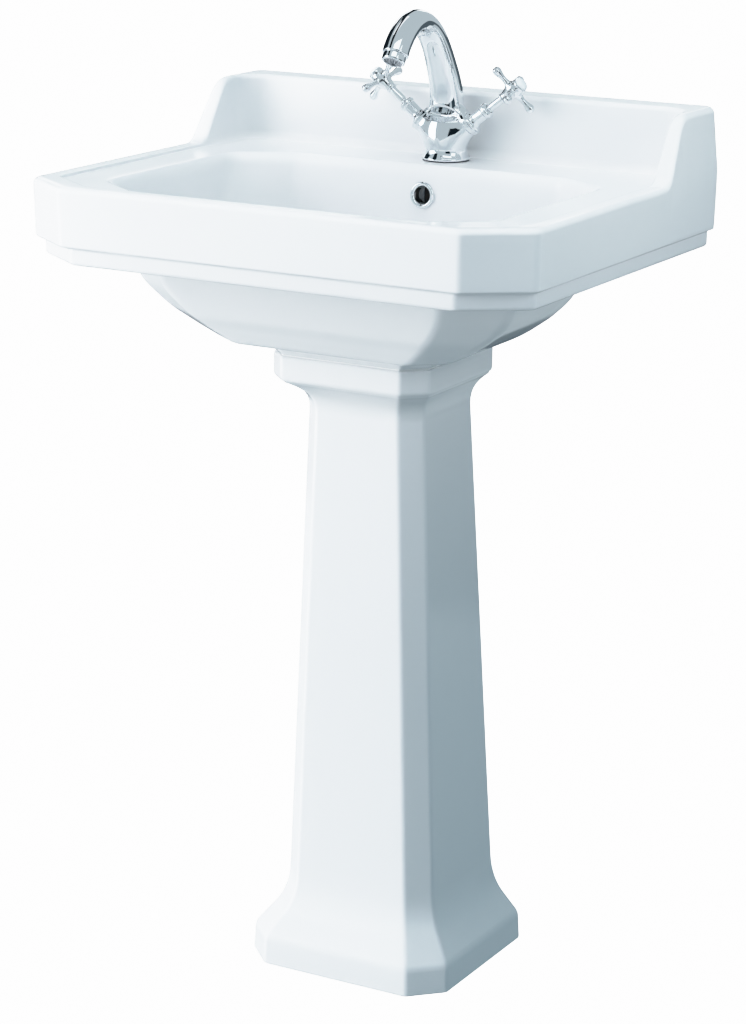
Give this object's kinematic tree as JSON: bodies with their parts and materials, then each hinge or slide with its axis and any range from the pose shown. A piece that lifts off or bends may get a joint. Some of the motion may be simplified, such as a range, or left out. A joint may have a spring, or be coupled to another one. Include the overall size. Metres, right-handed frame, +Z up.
{
  "type": "pedestal sink",
  "caption": "Angular white china wash basin with a splashback on a tapering pedestal, with a chrome mixer tap and two cross handles.",
  "frame": {"origin": "on the floor, in the middle of the sink's footprint (bounding box bottom centre)", "axes": "+Z up, +Y towards the wall behind the sink, +X to the right of a person facing the sink's front"},
  "size_m": [0.56, 0.455, 1.0024],
  "materials": {
    "china": "glazed white vitreous china, glossy and opaque",
    "porcelain": "glazed porcelain, glossy and opaque",
    "chrome": "polished chrome plate on brass",
    "brass": "machined brass",
    "copper": "drawn copper tube",
    "steel": "zinc-plated steel",
    "rubber": "black rubber",
    "sealant": "white sanitary sealant",
    "white_plastic": "moulded white polypropylene",
    "grey_plastic": "moulded grey plastic"
  },
  "bodies": {
    "sink": {"aerator_disc": "grey_plastic", "basin": "china", "cold_bonnet": "chrome", "cold_tail": "copper", "cold_valve": "brass", "hot_bonnet": "chrome", "hot_tail": "copper", "hot_valve": "brass", "nozzle_housing": "chrome", "nozzle_washer": "rubber", "overflow_ring": "chrome", "pedestal": "china", "pedestal_seal": "sealant", "tap_base_seal": "rubber", "tap_body": "chrome", "tap_shoe_plate": "steel", "tap_shoe_rubber": "rubber", "tap_stud": "steel", "tap_stud_nut": "brass", "trap_cup": "white_plastic", "trap_cup_seal": "rubber", "trap_head": "white_plastic", "trap_inlet_nut": "white_plastic", "trap_inlet_washer": "rubber", "trap_outlet_nut": "white_plastic", "trap_outlet_washer": "rubber", "waste_backnut": "brass", "waste_body": "chrome", "waste_flange_seal": "rubber", "waste_pipe": "white_plastic", "waste_under_seal": "rubber"},
    "hot_handle_group": {"hot_handle": "chrome", "hot_spindle": "brass", "hot_handle_screw": "steel", "hot_index_cap": "porcelain"},
    "cold_handle_group": {"cold_handle": "chrome", "cold_spindle": "brass", "cold_handle_screw": "steel", "cold_index_cap": "porcelain"},
    "plug": {"waste_plug": "chrome", "waste_plug_seal": "rubber"}
  },
  "joints": [
    {"name": "hot_turn", "type": "hinge", "parent": "sink", "child": "hot_handle_group", "pos_m": [0, 0.161, 0.8593], "axis": [-0.788, 0, 0.6157], "range_deg": [0, 90]},
    {"name": "cold_turn", "type": "hinge", "parent": "sink", "child": "cold_handle_group", "pos_m": [0, 0.161, 0.8593], "axis": [0.788, 0, 0.6157], "range_deg": [-90, 0]},
    {"name": "plug_lift", "type": "slide", "parent": "sink", "child": "plug", "axis": [0, 0, 1], "range_m": [0, 0.009]}
  ]
}
